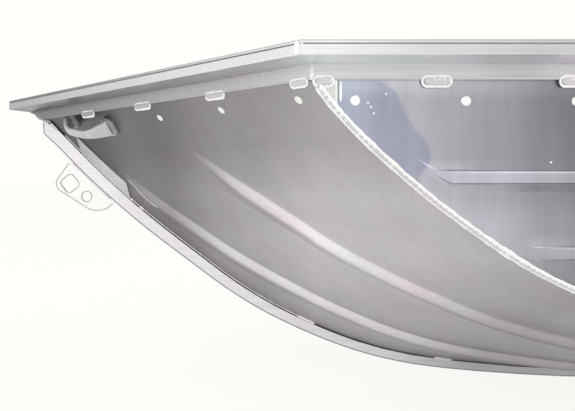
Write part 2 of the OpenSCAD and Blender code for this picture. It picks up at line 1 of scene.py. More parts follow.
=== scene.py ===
import bpy, bmesh, json, math
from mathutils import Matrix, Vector, noise


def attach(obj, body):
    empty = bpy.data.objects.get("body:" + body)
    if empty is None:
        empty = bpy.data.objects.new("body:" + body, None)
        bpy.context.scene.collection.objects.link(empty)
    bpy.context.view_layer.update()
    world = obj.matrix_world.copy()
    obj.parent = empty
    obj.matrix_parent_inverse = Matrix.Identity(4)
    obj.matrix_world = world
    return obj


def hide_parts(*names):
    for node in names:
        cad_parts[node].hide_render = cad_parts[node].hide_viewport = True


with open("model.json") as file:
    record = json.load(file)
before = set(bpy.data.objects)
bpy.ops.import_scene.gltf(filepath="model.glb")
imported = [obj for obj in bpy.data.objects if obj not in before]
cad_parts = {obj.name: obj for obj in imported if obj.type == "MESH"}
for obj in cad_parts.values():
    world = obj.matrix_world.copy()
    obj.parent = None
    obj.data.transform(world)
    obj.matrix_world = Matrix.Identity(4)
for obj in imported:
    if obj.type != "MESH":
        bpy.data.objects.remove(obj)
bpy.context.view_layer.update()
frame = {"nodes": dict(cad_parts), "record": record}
nodes = frame["nodes"]

# Hull lines: the same as those of the solids, in metres; a distance named a or
# _A runs aft from the bow point
LENGTH, BEAM, DEPTH, BOW = 4.270, 1.400, 0.600, 0.620
KEEL_H, STEM_H, KEEL_T, SHEET, FLARE = 0.015, 0.027, 0.012, 0.0025, 0.055
RAKE, TRANSOM_T, CAP_OVER = math.radians(13), 0.003, 0.004
GUN_OVER, GUN_T, GUN_DROP = 0.035, 0.003, 0.045
HALF, FORE = BEAM / 2, LENGTH / 2
BOW_LEN = math.hypot(BOW, HALF)
BOW_SIN, BOW_COS = HALF / BOW_LEN, BOW / BOW_LEN
SHEET_Y = HALF - GUN_OVER - GUN_T
SHEET_TOP = DEPTH - GUN_T
KNUCKLE_A = (GUN_OVER + GUN_T + SHEET_Y * BOW_COS) / BOW_SIN
KNUCKLE_Z = DEPTH - GUN_DROP + 0.002
STEM_A = (GUN_OVER + GUN_T + 0.009) / BOW_SIN
STEM_Z = DEPTH - GUN_DROP + 0.021
STEM_Y = 0.004
# Keel line: distance aft over BOW, share of the height from KEEL_H to DEPTH
KEEL = [(0.10, 0.965), (0.19, 0.874), (0.32, 0.734), (0.48, 0.583),
        (0.65, 0.442), (0.81, 0.317), (0.97, 0.219), (1.19, 0.119),
        (1.39, 0.062), (1.63, 0.029), (1.98, 0.004), (2.42, 0.0), (9, 0.0)]
# Chine: distance aft of the knuckle over BOW, share of the flare, share of the
# height from KEEL_H to KNUCKLE_Z
CHINE = [(0.00, 0.00, 1.000), (0.045, 0.01, 0.932), (0.13, 0.05, 0.832),
         (0.29, 0.28, 0.680), (0.50, 0.60, 0.524), (0.75, 0.86, 0.408),
         (0.96, 0.95, 0.340), (1.40, 1.00, 0.238), (2.20, 1.00, 0.102),
         (3.20, 1.00, 0.012), (3.80, 1.00, 0.0), (9, 1.00, 0.0)]
# Strakes: place across; then, over BOW, the start and, as a share, how far they
# draw in, the run over which they straighten and the run over which they rise
STRAKES = [(0.121, 0.43, 0.57, 0.75, 0.07), (0.366, 0.69, 0.20, 0.70, 0.17)]
STRAKE_W = 0.056
SIDE_RIBS = (0.329, 0.430)
RIB_W, RIB_H = 0.019, 0.004
DIP_L, DIP_POWER = 0.120, 5
# Share across the bottom at which its slope at the edge is taken, and outward
# to port
NEAR_EDGE, OUT = 0.98, Vector((0, 1, 0))


def clamp01(t):
    return min(1.0, max(0.0, t))


def mix(a, b, t):
    return a + (b - a) * t


def ease(t):
    t = clamp01(t)
    return t * t * (3 - 2 * t)


def curve(table, c, u):
    """Smooth curve through column c of a table at u."""
    last = len(table) - 1
    i = max(k for k in range(last) if k == 0 or table[k][0] <= u)

    def slope(k):
        p, q = max(0, k - 1), min(last, k + 1)
        return (table[q][c] - table[p][c]) / (table[q][0] - table[p][0])
    h = table[i + 1][0] - table[i][0]
    s = clamp01((u - table[i][0]) / h)
    return (table[i][c] * (2 * s**3 - 3 * s**2 + 1)
            + table[i + 1][c] * (3 * s**2 - 2 * s**3)
            + h * slope(i) * (s**3 - 2 * s**2 + s)
            + h * slope(i + 1) * (s**3 - s**2))


def keel_z(a):
    return mix(KEEL_H, DEPTH, max(0.0, curve(KEEL, 1, a / BOW)))


def edge(a):
    """Outer edge of the bottom: the sheer to the knuckle, then the chine."""
    if a < KNUCKLE_A:
        t = clamp01((a - STEM_A) / (KNUCKLE_A - STEM_A))
        return mix(STEM_Y, SHEET_Y, t), mix(STEM_Z, KNUCKLE_Z, t)
    u = (a - KNUCKLE_A) / BOW
    return (SHEET_Y - FLARE * clamp01(curve(CHINE, 1, u)),
            mix(KEEL_H, KNUCKLE_Z, clamp01(curve(CHINE, 2, u))))


def dip_turn():
    """Turn of the edge at the knuckle, seen across the bottom."""
    m = (KNUCKLE_Z - keel_z(KNUCKLE_A)) / SHEET_Y
    ahead = (KNUCKLE_Z - STEM_Z - m * (SHEET_Y - STEM_Y)) / (KNUCKLE_A - STEM_A)
    flare, height = [(CHINE[1][c] - CHINE[0][c]) / CHINE[1][0] / BOW for c in (1, 2)]
    return ahead - (KNUCKLE_Z - KEEL_H) * height - m * FLARE * flare


def dip(a):
    """How far the sheet sags under a straight section where the edge turns."""
    return dip_turn() * DIP_L / 4 * max(0.0, 1 - abs(a - KNUCKLE_A) / DIP_L)**2


def bottom(a, w):
    """Point of the bottom at share w of the way from the keel to the edge."""
    y, z = edge(a)
    return Vector((FORE - a, w * y,
                   mix(keel_z(a), z, w) - dip(a) * (w - w**DIP_POWER)))


def inward(a, w):
    """Direction from the bottom sheet into the boat."""
    p = bottom(a, w)
    return (bottom(a, w + 0.01) - p).cross(bottom(a + 0.001, w) - p).normalized()


def side_y(a, z):
    """Outer face of the side sheet at height z."""
    y, lo = edge(a)
    return mix(y, SHEET_Y, clamp01((z - lo) / (SHEET_TOP - lo)))


def side_in(a):
    """Direction from the side sheet into the boat."""
    y, z = edge(a)
    return Vector((0, z - SHEET_TOP, SHEET_Y - y)).normalized()


def chine_in(a):
    b, s = inward(a, NEAR_EDGE), side_in(a)
    return bottom(a, 1) + SHEET * (b + s) / (1 + b.dot(s))


def transom_x(z):
    """Inner face of the transom at height z."""
    return ((DEPTH - z) * math.tan(RAKE) + (CAP_OVER + TRANSOM_T) / math.cos(RAKE)
            - FORE)


# Camera, fitted to the lines of the photo
CAM_A, CAM_Y, CAM_Z, FOCUS, SENSOR = 0.6048, 1.619, 0.4238, 745.0, 36.0
PHOTO_W, PHOTO_H, HORIZON = 575.0, 411.0, 182.0
cam_data = bpy.data.cameras.new("camera")
cam_data.sensor_width = SENSOR
cam_data.lens = FOCUS / PHOTO_W * SENSOR
cam_data.shift_y = -(PHOTO_H / 2 - HORIZON) / PHOTO_W
camera = bpy.data.objects.new("camera", cam_data)
camera.location = (FORE - CAM_A, CAM_Y, CAM_Z)
camera.rotation_euler = (math.radians(90), 0, math.radians(180))
bpy.context.collection.objects.link(camera)
bpy.context.scene.camera = camera


# Materials
def graded(tree, coord, axis, stops):
    """Value that follows stops (place, value) along one axis of a vector."""
    split = tree.nodes.new("ShaderNodeSeparateXYZ")
    tree.links.new(coord, split.inputs[0])
    lo, hi = stops[0][0], stops[-1][0]
    span = tree.nodes.new("ShaderNodeMapRange")
    span.inputs["From Min"].default_value = lo
    span.inputs["From Max"].default_value = hi
    tree.links.new(split.outputs[axis], span.inputs["Value"])
    ramp = tree.nodes.new("ShaderNodeValToRGB")
    items = ramp.color_ramp.elements
    while len(items) < len(stops):
        items.new(0.5)
    top = max(value for at, value in stops)
    for item, (at, value) in zip(items, stops):
        item.position = (at - lo) / (hi - lo)
        item.color = (value / top, value / top, value / top, 1)
    tree.links.new(span.outputs["Result"], ramp.inputs["Fac"])
    return math_node(tree, "MULTIPLY", ramp.outputs["Color"], top)


def times(tree, first, second):
    made = tree.nodes.new("ShaderNodeMix")
    made.data_type, made.blend_type = "RGBA", "MULTIPLY"
    made.inputs["Factor"].default_value = 1.0
    tree.links.new(first, made.inputs["A"])
    tree.links.new(second, made.inputs["B"])
    return made.outputs["Result"]


def math_node(tree, kind, *values):
    made = tree.nodes.new("ShaderNodeMath")
    made.operation = kind
    for k, value in enumerate(values):
        if isinstance(value, (int, float)):
            made.inputs[k].default_value = value
        else:
            tree.links.new(value, made.inputs[k])
    return made.outputs["Value"]


def between(tree, value, lo, hi, out_lo=0.0, out_hi=1.0):
    """Smooth step of a value from lo to hi."""
    made = tree.nodes.new("ShaderNodeMapRange")
    made.interpolation_type = "SMOOTHSTEP"
    made.inputs["From Min"].default_value = lo
    made.inputs["From Max"].default_value = hi
    made.inputs["To Min"].default_value = out_lo
    made.inputs["To Max"].default_value = out_hi
    tree.links.new(value, made.inputs["Value"])
    return made.outputs["Result"]


# Noise of bare metal: scale, detail, roughness and how it is drawn out
STAINS, SWELL = (3.2, 5.0, 0.6), (5.0, 2.0, 0.5)
CLOUDS, UPRIGHT = (11.0, 2.0, 0.5, (1, 1, 0.7)), (1.0, 3.0, 0.5, (16, 16, 0.5))
COOL, WARM = (0.975, 1.0, 0.985), (1.0, 0.968, 0.985)
STAIN_SHARE, GRAIN_DEPTH, PATCH_BLUR = 0.75, 0.0005, 0.004


def metal(name, color, rough=0.35, grain=(6, 300, 300), bump=0.15, blotch=0.10,
          painted_tones=(), shades=(), patch=None, wave=0.0, band=0.0, metallic=1.0,
          painted_light=False):
    """Bare aluminium: grain drawn out along the sheet, stains, and painted light and shade.

    painted_tones are (axis, stops) along the object, of painted reflection and
    shade; shades are (Normal or Object, stops along its z for where a painted shade
    lies, stops along x for how light a face is painted there); patch is (stops by
    height of the distance aft at which a painted bluish reflection ends, its
    colour); wave is the depth in metres of the gentle unevenness of a panel, and
    band the strength of upright bands; with painted_light a sheet is painted
    lighter or darker, as highlights and shade, by the value that its mesh carries
    at each point.
    """
    mat = bpy.data.materials.new(name)
    mat.use_nodes = True
    nt = mat.node_tree
    n, link = nt.nodes, nt.links.new
    shader = n["Principled BSDF"]
    shader.inputs["Metallic"].default_value = metallic
    place = n.new("ShaderNodeTexCoord")
    coord = place.outputs["Object"]

    def textured(scale, detail, rough_noise, stretch=(1, 1, 1)):
        mapping = n.new("ShaderNodeMapping")
        mapping.inputs["Scale"].default_value = stretch
        link(coord, mapping.inputs["Vector"])
        tex = n.new("ShaderNodeTexNoise")
        tex.inputs["Scale"].default_value = scale
        tex.inputs["Detail"].default_value = detail
        tex.inputs["Roughness"].default_value = rough_noise
        link(mapping.outputs["Vector"], tex.inputs["Vector"])
        return tex.outputs["Fac"]

    def two_tone(value, lo, hi, first, second):
        ramp = n.new("ShaderNodeValToRGB")
        for item, at, tone in zip(ramp.color_ramp.elements, (lo, hi), (first, second)):
            item.position = at
            item.color = (*tone, 1)
        link(value, ramp.inputs["Fac"])
        return ramp.outputs["Color"]

    fine = textured(1.0, 4.0, 0.5, grain)
    stains_and_painted_shadow = textured(*STAINS)
    tone = math_node(nt, "MULTIPLY_ADD", stains_and_painted_shadow, STAIN_SHARE, fine)
    result = two_tone(tone, 0.55, 1.0, [c * (1 - blotch) for c in color],
                      [min(1.0, c * (1 + blotch * 0.6)) for c in color])
    # Faint warm and cool clouds, as bare sheet shows
    result = times(nt, result, two_tone(textured(*CLOUDS), 0.40, 0.60, COOL, WARM))
    if band:
        result = times(nt, result, between(nt, textured(*UPRIGHT), 0.3, 0.7, 1.0 - band,
                                           1.0))
    # Painted reflection and shade along the object
    for axis, stops in painted_tones:
        result = times(nt, result, graded(nt, coord, axis, stops))
    # Painted shade, and painted light where a run is above 1, by facing or by height
    for source, mask, run in shades:
        where = graded(nt, place.outputs[source], 2, mask)
        light = math_node(nt, "SUBTRACT", graded(nt, coord, 0, run), 1.0)
        result = times(nt, result, math_node(nt, "MULTIPLY_ADD", where, light, 1.0))
    # Painted highlights and shade, by the value that the mesh carries at each point
    if painted_light:
        value = n.new("ShaderNodeAttribute")
        value.attribute_name = "painted_light"
        result = times(nt, result, math_node(nt, "ADD", value.outputs["Fac"], 1.0))
    # Painted bluish reflection over the area ahead of a place aft that is set by height
    if patch:
        split = n.new("ShaderNodeSeparateXYZ")
        link(coord, split.inputs[0])
        end = math_node(nt, "ADD", graded(nt, coord, 2, patch[0]), split.outputs[0])
        inside = between(nt, end, FORE - PATCH_BLUR, FORE + PATCH_BLUR)
        tinted = n.new("ShaderNodeMix")
        tinted.data_type, tinted.blend_type = "RGBA", "MULTIPLY"
        tinted.inputs["B"].default_value = (*patch[1], 1)
        link(inside, tinted.inputs["Factor"])
        link(result, tinted.inputs["A"])
        result = tinted.outputs["Result"]
    link(result, shader.inputs["Base Color"])
    spread = n.new("ShaderNodeMapRange")
    spread.inputs["From Min"].default_value = 0.3
    spread.inputs["From Max"].default_value = 0.7
    spread.inputs["To Min"].default_value = rough * 0.8
    spread.inputs["To Max"].default_value = rough * 1.25
    link(stains_and_painted_shadow, spread.inputs["Value"])
    link(spread.outputs["Result"], shader.inputs["Roughness"])
    relief = n.new("ShaderNodeBump")
    relief.inputs["Strength"].default_value = bump
    relief.inputs["Distance"].default_value = GRAIN_DEPTH
    link(fine, relief.inputs["Height"])
    if wave:
        swell = n.new("ShaderNodeBump")
        swell.inputs["Strength"].default_value = 1.0
        swell.inputs["Distance"].default_value = wave
        link(textured(*SWELL), swell.inputs["Height"])
        link(swell.outputs["Normal"], relief.inputs["Normal"])
    link(relief.outputs["Normal"], shader.inputs["Normal"])
    return mat


def aft(*stops):
    """Stops given by the distance aft of the bow point, as stops along x."""
    return [(FORE - a, value) for a, value in reversed(stops)]


# How light the parts are painted along the boat, as painted reflection and
# shade on them: the bottom, the sides, the gunwale's face, its lip over the
# groove, its underside, its flange and its top edge, the keel bar, the plate
# beside the stem, and the welds
BOTTOM_RUN = aft((0.06, 0.25), (0.24, 0.30), (0.265, 0.40), (0.31, 0.425), (0.36, 0.405),
                 (0.385, 0.435), (0.41, 0.515), (0.46, 0.68), (0.51, 0.79), (0.56, 0.85),
                 (0.61, 0.98), (0.66, 1.09), (0.76, 1.06), (0.81, 1.03), (0.86, 0.96),
                 (0.91, 0.85), (1.0, 0.69), (1.35, 0.66), (4.3, 0.70))
SIDE_RUN = aft((0.64, 1.28), (0.70, 1.25), (0.72, 1.08), (0.77, 1.04), (0.82, 0.92),
               (0.87, 0.76), (0.92, 0.62), (0.96, 0.50), (1.00, 0.45), (1.30, 0.58),
               (2.20, 0.64), (4.3, 0.60))
GUNWALE_RUN = aft((0.0, 0.50), (0.10, 0.54), (0.18, 0.64), (0.30, 0.75), (0.44, 0.86),
                  (0.60, 0.96), (0.65, 1.0), (0.70, 0.94), (0.78, 0.80), (0.84, 0.74),
                  (0.92, 0.56), (1.3, 0.58), (4.3, 0.62))
LIP_RUN = aft((0.0, 0.50), (0.12, 0.42), (0.20, 0.50), (0.30, 0.60), (0.40, 0.74),
              (0.50, 0.84), (0.60, 0.93), (0.64, 1.05), (4.3, 1.05))
UNDER_RUN = aft((0.0, 0.32), (0.08, 0.32), (0.12, 0.48), (0.20, 0.60), (0.40, 0.60),
                (0.50, 0.66), (0.58, 0.73), (0.62, 0.89), (0.66, 1.12), (0.74, 1.2),
                (0.80, 1.3), (0.86, 1.38), (0.92, 1.85), (0.98, 1.95), (1.3, 1.7),
                (4.3, 1.5))
FLANGE_RUN = aft((0.0, 0.45), (0.20, 0.47), (0.30, 0.53), (0.40, 0.60), (0.50, 0.64),
                 (0.56, 0.68), (0.66, 0.78), (0.70, 0.79), (0.76, 0.85), (0.82, 0.92),
                 (0.88, 0.87), (0.94, 1.0), (4.3, 0.95))
CHAMFER_RUN = aft((0, 0.6), (4.3, 0.6))
BAR_RUN = aft((0.0, 1.0), (0.45, 1.0), (0.60, 0.92), (0.80, 0.84), (1.0, 0.50), (4.3, 0.55))
DOUBLER_RUN = aft((0.14, 0.55), (0.17, 0.75), (0.22, 1.0), (0.35, 0.95))
WELD_RUN = aft((0.0, 0.60), (0.25, 0.62), (0.40, 0.80), (0.60, 1.0), (4.3, 1.0))
# Painted reflection and shade on the sheets by height, the place aft where the
# painted bluish reflection on the side ends by height, the grain of castings and
# of what runs across the boat, and where a painted shade lies by normal z or by
# height
BOTTOM_TONES = [(0.0, 0.80), (0.08, 0.73), (0.16, 0.78), (0.20, 0.82), (0.24, 0.94),
                (0.32, 1.09), (0.36, 1.04), (0.40, 1.06), (0.44, 0.92), (0.48, 0.78),
                (0.60, 0.78)]
SIDE_TONES = [(0.0, 0.95), (0.15, 1.0), (0.30, 1.2), (0.345, 1.35), (0.37, 1.30),
              (0.385, 1.22), (0.40, 1.10), (0.425, 1.0), (0.46, 0.92), (0.50, 0.88),
              (0.53, 0.87), (0.545, 1.05), (0.6, 1.05)]
PATCH_END = [(0.43, 0.775), (0.45, 0.79), (0.465, 0.79), (0.48, 0.782), (0.493, 0.768),
             (0.516, 0.755), (0.541, 0.744), (0.555, 0.722), (0.58, 0.69)]
CAST, CROSSWISE = (60, 60, 60), (300, 6, 300)
FACING_DOWN = [(-1.0, 1), (-0.7, 1), (-0.3, 0), (1, 0)]
FACING_UP_AND_OUT = [(-1, 0), (0.3, 0), (0.6, 1), (0.8, 1), (0.9, 0), (1, 0)]
ON_FLANGE = [(0.55, 1), (0.574, 1), (0.5765, 0), (0.61, 0)]
ON_LIP = [(0.59, 0), (0.594, 0), (0.5955, 1), (0.5985, 1), (0.60, 0.3)]
# The runs, tones, shades and patch used in these looks paint reflection and shade into the
# colours
LOOKS = {
    "bottom_sheet": dict(color=(0.51, 0.483, 0.505), rough=0.36, wave=0.003, band=0.05,
                         painted_light=True, painted_tones=[(0, BOTTOM_RUN), (2, BOTTOM_TONES)]),
    "side_sheet": dict(color=(0.535, 0.53, 0.595), rough=0.30, grain=(120, 120, 10),
                       bump=0.05, blotch=0.06, wave=0.003, band=0.11, painted_light=True,
                       painted_tones=[(0, SIDE_RUN), (2, SIDE_TONES)],
                       patch=(PATCH_END, (0.76, 0.79, 0.89))),
    "gunwale_extrusion": dict(color=(0.88, 0.875, 0.91), rough=0.30,
                              painted_tones=[(0, GUNWALE_RUN)],
                              shades=[("Normal", FACING_DOWN, UNDER_RUN),
                                      ("Object", ON_FLANGE, FLANGE_RUN),
                                      ("Object", ON_LIP, LIP_RUN),
                                      ("Normal", FACING_UP_AND_OUT, CHAMFER_RUN)]),
    "keel_bar": dict(color=(0.80, 0.79, 0.83), rough=0.40, painted_tones=[(0, BAR_RUN)]),
    "plate": dict(color=(0.62, 0.63, 0.65), rough=0.34),
    "cast_handle": dict(color=(0.56, 0.555, 0.58), rough=0.42, grain=CAST, bump=0.3,
                        metallic=0.6),
    "bench_sheet": dict(color=(0.50, 0.505, 0.52), rough=0.34, grain=CROSSWISE),
    "frame": dict(color=(0.48, 0.485, 0.50), rough=0.36, grain=CROSSWISE),
    "motor_board": dict(color=(0.50, 0.505, 0.52), rough=0.36, grain=CROSSWISE),
    "drain_socket": dict(color=(0.60, 0.47, 0.26), rough=0.30, grain=CAST),
    "weld": dict(color=(0.66, 0.655, 0.69), rough=0.30, grain=(400, 400, 400), bump=0.4,
                 painted_tones=[(0, WELD_RUN)]),
    "halo": dict(color=(0.90, 0.90, 0.90), rough=0.60, grain=(300, 300, 300), bump=0.3,
                 blotch=0.06, metallic=0.3),
    "eye_plate": dict(color=(0.90, 0.905, 0.90), rough=0.38, grain=(80, 80, 300),
                      bump=0.1, blotch=0.04),
    "doubler": dict(color=(0.76, 0.755, 0.755), rough=0.36, painted_tones=[(0, DOUBLER_RUN)]),
    "knuckle_patch": dict(color=(0.70, 0.70, 0.70), rough=0.34),
    "edge": dict(color=(0.30, 0.30, 0.32), rough=0.50, grain=CAST),
    "soft_edge": dict(color=(0.50, 0.50, 0.51), rough=0.50, grain=CAST),
    "seam": dict(color=(0.12, 0.12, 0.125), rough=0.60, grain=CAST),
}
MATS = {name: metal(name, **look) for name, look in LOOKS.items()}
OWN_LOOK = {"eye_plate": "eye_plate", "stem_doubler_port": "doubler",
            "stem_doubler_starboard": "doubler"}
slots = {s["node"]: s["material_slot"] for s in frame["record"]["subparts"]}
for name, obj in nodes.items():
    look = OWN_LOOK.get(name, slots[name])
    for slot in obj.material_slots:
        slot.material = MATS[look]

# Mesh helpers
CREASE = math.radians(35)


def piece(name, verts, faces, look, node=None, painted_light=None):
    """Closed smooth-shaded mesh that rides on the hull.

    node is the solid that it stands for, and painted_light how much lighter or
    darker it is painted at each point, as painted highlights and shade.
    """
    mesh = bpy.data.meshes.new(name)
    mesh.from_pydata([tuple(v) for v in verts], [], faces)
    bm = bmesh.new()
    bm.from_mesh(mesh)
    bmesh.ops.recalc_face_normals(bm, faces=bm.faces)
    bm.to_mesh(mesh)
    bm.free()
    mesh.shade_smooth()
    mesh.set_sharp_from_angle(angle=CREASE)
    mesh.materials.append(MATS[look])
    if painted_light:
        mesh.attributes.new("painted_light", "FLOAT", "POINT").data.foreach_set("value", painted_light)
    obj = bpy.data.objects.new(name, mesh)
    bpy.context.collection.objects.link(obj)
    if node:
        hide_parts(node)
    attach(obj, "root")


def both_sides(name, verts, faces, look, slot=None, node=None, painted_light=None):
    """The same piece to port and, mirrored, to starboard."""
    for side, s in (("port", 1), ("starboard", -1)):
        piece(f"{name}_{side}", [(v[0], s * v[1], v[2]) for v in verts], faces,
              look, f"{node}_{side}" if node else None, painted_light)


def stops(table, u):
    """Value at u of straight lines through the points of a table."""
    for (u0, v0), (u1, v1) in zip(table, table[1:]):
        if u <= u1:
            return mix(v0, v1, clamp01((u - u0) / (u1 - u0)))
    return table[-1][1]


def skin(outer, inner):
    """Closed sheet between two grids of points."""
    m, n = len(outer), len(outer[0])
    half = m * n
    verts = [p for r in outer for p in r] + [p for r in inner for p in r]
    faces = []
    for i in range(m - 1):
        for j in range(n - 1):
            k = i * n + j
            faces.append((k, k + 1, k + n + 1, k + n))
            faces.append((half + k, half + k + n, half + k + n + 1, half + k + 1))
    rim = ([(j, j + 1) for j in range(n - 1)]
           + [((m - 1) * n + j, (m - 1) * n + j + 1) for j in range(n - 1)]
           + [(i * n, i * n + n) for i in range(m - 1)]
           + [(i * n + n - 1, i * n + 2 * n - 1) for i in range(m - 1)])
    return verts, faces + [(p, q, q + half, p + half) for p, q in rim]


BEAD_SIDES, SINK = 9, 0.0003


def bead(path, ups, width, height, pitch=0.005, seed=0.0, ripple=1.0, closed=False,
         uneven=1.0):
    """Rippled weld along a path; ups are the directions that it stands in.

    uneven above 1 makes its edge wander, closed joins a ring without ends.
    """
    steps = [(q - p).length for p, q in zip(path, path[1:])]
    total = sum(steps)
    count = max(8, int(total / pitch * 4))
    verts, faces, n = [], [], BEAD_SIDES
    i, done = 0, 0.0
    for k in range(count + 1):
        s = total * k / count
        while i < len(steps) - 1 and done + steps[i] < s:
            done += steps[i]
            i += 1
        t = clamp01((s - done) / steps[i])
        p = path[i].lerp(path[i + 1], t)
        along = (path[i + 1] - path[i]).normalized()
        up = ups[i].lerp(ups[i + 1], t)
        up = (up - along * up.dot(along)).normalized()
        across = along.cross(up)
        # Ripples, an edge and a height that wander, and open ends that taper
        wave = ripple * (0.5 + 0.5 * math.cos(2 * math.pi * s / pitch))
        rough = noise.noise(Vector((s * 60, seed, 0.3)))
        if uneven > 1:
            rough = uneven * (rough + 0.7 * noise.noise(Vector((s * 190, seed, 0.7))))
        end = 1.0 if closed else math.sqrt(clamp01(min(s, total - s) / (width * 0.5)))
        w = width / 2 * (0.92 + 0.05 * wave + 0.10 * rough) * max(0.25, end)
        h = height * (1 - 0.22 * ripple + 0.22 * wave + 0.10 * rough) * max(0.15, end)
        for j in range(n):
            c, u = math.cos(math.pi * j / (n - 1)), math.sin(math.pi * j / (n - 1))
            back = pitch * 0.5 * u * ripple if 0 < k < count else 0
            verts.append(p + across * (c * w) + up * (u**0.7 * h - SINK) - along * back)
    for k in range(count):
        for j in range(n):
            q = (j + 1) % n
            faces.append((k * n + j, k * n + q, (k + 1) * n + q, (k + 1) * n + j))
    faces.append(tuple(range(n)))
    faces.append(tuple(count * n + j for j in range(n - 1, -1, -1)))
    return verts, faces


def fine_line(path, ups, width, height, seed, pitch=0.020, **more):
    """Even bead that reads as a drawn line."""
    return bead(path, ups, width, height, pitch, seed, 0.0, **more)


def joined(parts):
    """One list of vertices and faces out of several."""
    verts, faces = [], []
    for v, f in parts:
        base = len(verts)
        verts += list(v)
        faces += [tuple(k + base for k in face) for face in f]
    return verts, faces


# Hull sheets, smooth and finer than the solids that they stand for
BOW_STEPS, RUN_STEPS, LAST_A = 60, 150, 4.10
BOW_STATIONS = [mix(STEM_A, KNUCKLE_A, i / BOW_STEPS) for i in range(BOW_STEPS + 1)]
RUN_STATIONS = [KNUCKLE_A + (LAST_A - KNUCKLE_A) * (i / RUN_STEPS)**1.5
                for i in range(1, RUN_STEPS + 1)]
STATIONS = BOW_STATIONS + RUN_STATIONS + [LENGTH]
SIDE_STATIONS = STATIONS[BOW_STEPS:]
# Rise across a strake and across a side rib: place over the width, share of
# the height
RISE = [(-0.50, 0.0), (-0.46, 0.02), (-0.38, 0.12), (-0.20, 0.45), (-0.04, 0.76),
        (0.04, 0.91), (0.09, 0.98), (0.13, 1.0), (0.17, 0.97), (0.21, 0.88),
        (0.245, 0.79), (0.28, 0.67), (0.36, 0.42), (0.44, 0.17), (0.475, 0.07),
        (0.50, 0.0)]
RIB_RISE = [(-0.50, 0.0), (-0.475, 0.12), (-0.45, 0.45), (-0.42, 0.82), (-0.38, 0.97),
            (-0.2, 0.96), (0.0, 0.89), (0.2, 0.83), (0.38, 0.77), (0.43, 0.62),
            (0.46, 0.35), (0.48, 0.12), (0.50, 0.0)]
# Painted highlight on the outer face of a strake and painted shade along its
# crest, across it, and how that runs aft on the inner strake and on the outer one
STRAKE_LIGHT_ACROSS = [(-0.50, 0.0), (-0.10, 0.0), (0.06, -0.05), (0.13, -0.20), (0.17, -0.16),
               (0.21, 0.16), (0.245, 0.62), (0.30, 0.92), (0.40, 1.0), (0.455, 0.95),
               (0.48, 0.5), (0.50, 0.08), (0.53, 0.0)]
STRAKE_LIGHT_RUN = (((0.25, 0.0), (0.272, 0.28), (0.298, 0.50), (0.33, 0.80), (0.40, 0.95),
             (0.9, 0.80), (1.0, 0.62), (1.3, 0.5), (4.3, 0.4)),
            ((0.425, 0.0), (0.45, 0.22), (0.47, 0.48), (0.50, 0.74), (0.58, 0.74),
             (0.75, 0.60), (0.9, 0.58), (1.3, 0.5), (4.3, 0.4)))
# Columns across the bottom inboard of each strake and outboard of both, the
# shares of the width that the two strakes keep to, and how much more gently
# than the solids' they rise
FLAT_COLS, EDGE_COLS = 8, 12
STRAKE_FROM, STRAKE_TO, GENTLER = (0.17, 0.62), (0.52, 0.90), 0.02
# Painted shadow under the bow handle: strength, then place and spread aft and up
HANDLE_SHADOW, HANDLE_SHADOW_AT, HANDLE_SHADOW_R = 0.35, (0.196, 0.507), (0.030, 0.013)


def columns(a):
    """Shares across the bottom, each with the rise of the strake there and its painted
    light and shade.
    """
    out, y, before = [], edge(a)[0], 0.0
    for k, (at, start, draw, straight, growth) in enumerate(STRAKES):
        t = clamp01((a / BOW - start) / straight)
        mid = at * (1 - draw * (1 - t)**1.3)
        lo = min((mid - STRAKE_W / 2) / y, STRAKE_FROM[k])
        hi = min((mid + STRAKE_W / 2) / y, STRAKE_TO[k])
        grow = ease((a / BOW - start) / (growth + GENTLER))
        strake_light = stops(STRAKE_LIGHT_RUN[k], a)
        out += [(mix(before, lo, i / FLAT_COLS), 0.0, 0.0) for i in range(FLAT_COLS)]
        out += [(mix(lo, hi, t + 0.5), rise * grow, stops(STRAKE_LIGHT_ACROSS, t) * strake_light)
                for t, rise in RISE]
        before = hi
    return out + [(mix(before, 1, (i + 1) / EDGE_COLS), 0.0, 0.0)
                  for i in range(EDGE_COLS)]


def on_strake(a, w, rise):
    """Point of the bottom's outer face, where a strake stands out by its rise."""
    return bottom(a, w) - Vector((0, 0, rise * KEEL_H))


def stains_and_painted_shadow(a, z):
    """How much darker the painted shadow under the bow handle makes the bottom at a point.
    """
    return HANDLE_SHADOW * math.exp(-((a - HANDLE_SHADOW_AT[0]) / HANDLE_SHADOW_R[0])**2
                            - ((z - HANDLE_SHADOW_AT[1]) / HANDLE_SHADOW_R[1])**2)


def run_out(p, a):
    """The same point, on the transom where the sheets end."""
    return Vector((transom_x(p[2]), p[1], p[2])) if a == LENGTH else p


MIN_SIDE = 0.3  # share of its distance from the keel that the inner face keeps
outer, inner, painted_light = [], [], []
for a in STATIONS:
    row_out, row_in = [], []
    for j, (w, rise, strake_light) in enumerate(columns(a)):
        p = on_strake(a, w, rise)
        q = p + SHEET * inward(a, w)
        if j == 0:
            q = p + Vector((0, 0, SHEET / inward(a, 0)[2]))
        elif w == 1 and a >= KNUCKLE_A:
            q = chine_in(a)
        q.y = max(q.y, p.y * MIN_SIDE)
        row_out.append(run_out(p, a))
        row_in.append(run_out(q, a))
        painted_light.append(strake_light - stains_and_painted_shadow(a, p.z))
    outer.append(row_out)
    inner.append(row_in)
both_sides("hull_bottom", *skin(outer, inner), "bottom_sheet", node="bottom",
           painted_light=painted_light + [0.0] * len(painted_light))

# Painted highlight: a bright line on the flank of the inner strake where it starts
FLANK_COL = FLAT_COLS + [t for t, rise in RISE].index(0.21)
path, ups = [], []
for i in range(15):
    a = mix(0.268, 0.338, i / 14)
    w, rise, strake_light = columns(a)[FLANK_COL]
    path.append(on_strake(a, w, rise))
    ups.append(-inward(a, w))
both_sides("strake_highlight", *fine_line(path, ups, 0.0022, 0.0007, 40.0, 0.030), "halo",
           "bottom_sheet")
